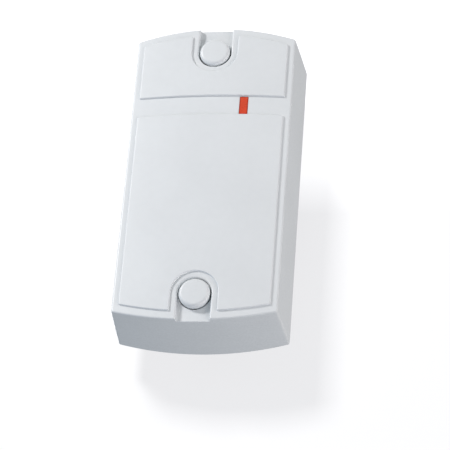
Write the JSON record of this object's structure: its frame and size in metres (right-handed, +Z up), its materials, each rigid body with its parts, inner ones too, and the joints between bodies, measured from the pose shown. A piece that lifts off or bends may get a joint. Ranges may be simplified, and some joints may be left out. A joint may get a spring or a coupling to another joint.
{
  "type": "proximity card reader",
  "caption": "Compact wall-mounted contactless card reader: crowned two-panel case, red indicator window, pull-out screw caps over its fixing screws, rear cable tail.",
  "frame": {"origin": "centre of the flat back face that lies on the wall", "axes": "+Z up along the long side of the case, +Y into the wall, -Y out of the front face, +X to the right seen from the front"},
  "size_m": [0.043, 0.0622, 0.085],
  "materials": {
    "case_plastic": "smooth moulded ABS, light cool grey, satin",
    "rear_plastic": "moulded ABS, mid grey, fine texture",
    "seal_rubber": "closed-cell sealing rubber",
    "label_foil": "blank satin foil label",
    "lens_red": "tinted acrylic light pipe",
    "screw_steel": "zinc-plated steel",
    "board_laminate": "glass-epoxy laminate with green solder resist",
    "former_plastic": "black glass-filled nylon",
    "copper_wire": "enamelled copper winding wire",
    "chip_epoxy": "moulded black epoxy",
    "resonator_can": "drawn steel can",
    "capacitor_ceramic": "ceramic capacitor body",
    "capacitor_yellow": "moulded tantalum capacitor body",
    "led_body": "white reflector body of a surface-mount lamp",
    "sounder_body": "black thermoplastic",
    "connector_nylon": "natural nylon",
    "cable_pvc": "dark grey PVC jacket",
    "grommet_rubber": "moulded strain relief",
    "red_insulation": "PVC wire insulation",
    "black_insulation": "PVC wire insulation",
    "green_insulation": "PVC wire insulation",
    "white_insulation": "PVC wire insulation",
    "brown_insulation": "PVC wire insulation",
    "blue_insulation": "PVC wire insulation",
    "orange_insulation": "PVC wire insulation",
    "yellow_insulation": "PVC wire insulation"
  },
  "bodies": {
    "case": {"antenna_coil": "copper_wire", "black_wire": "black_insulation", "blue_wire": "blue_insulation", "board_header": "connector_nylon", "board_screw_1": "screw_steel", "board_screw_2": "screw_steel", "board_screw_3": "screw_steel", "board_screw_4": "screw_steel", "brown_wire": "brown_insulation", "cable_grommet": "grommet_rubber", "cable_jacket": "cable_pvc", "cable_plug": "connector_nylon", "case_screw_1": "screw_steel", "case_screw_2": "screw_steel", "case_screw_3": "screw_steel", "case_screw_4": "screw_steel", "circuit_board": "board_laminate", "coil_former": "former_plastic", "coil_lead_1": "copper_wire", "coil_lead_2": "copper_wire", "front_cover": "case_plastic", "green_wire": "green_insulation", "indicator_led": "led_body", "indicator_lens": "lens_red", "lower_mounting_screw": "screw_steel", "microcontroller": "chip_epoxy", "orange_wire": "orange_insulation", "perimeter_seal": "seal_rubber", "protection_diode": "chip_epoxy", "rear_label": "label_foil", "rear_plate": "rear_plastic", "red_wire": "red_insulation", "reservoir_capacitor_1": "capacitor_yellow", "reservoir_capacitor_2": "capacitor_yellow", "resistor_1": "chip_epoxy", "resistor_2": "chip_epoxy", "resistor_3": "chip_epoxy", "resonator": "resonator_can", "rf_front_end_chip": "chip_epoxy", "sounder": "sounder_body", "tuning_capacitor_1": "capacitor_ceramic", "tuning_capacitor_2": "capacitor_ceramic", "upper_mounting_screw": "screw_steel", "voltage_regulator": "chip_epoxy", "white_wire": "white_insulation", "yellow_wire": "yellow_insulation"},
    "upper_cap": {"upper_screw_cap": "case_plastic"},
    "lower_cap": {"lower_screw_cap": "case_plastic"}
  },
  "joints": [
    {"name": "upper_cap_pull", "type": "slide", "parent": "case", "child": "upper_cap", "axis": [0, -1, 0], "range_m": [0, 0.016]},
    {"name": "lower_cap_pull", "type": "slide", "parent": "case", "child": "lower_cap", "axis": [0, -1, 0], "range_m": [0, 0.016]}
  ]
}
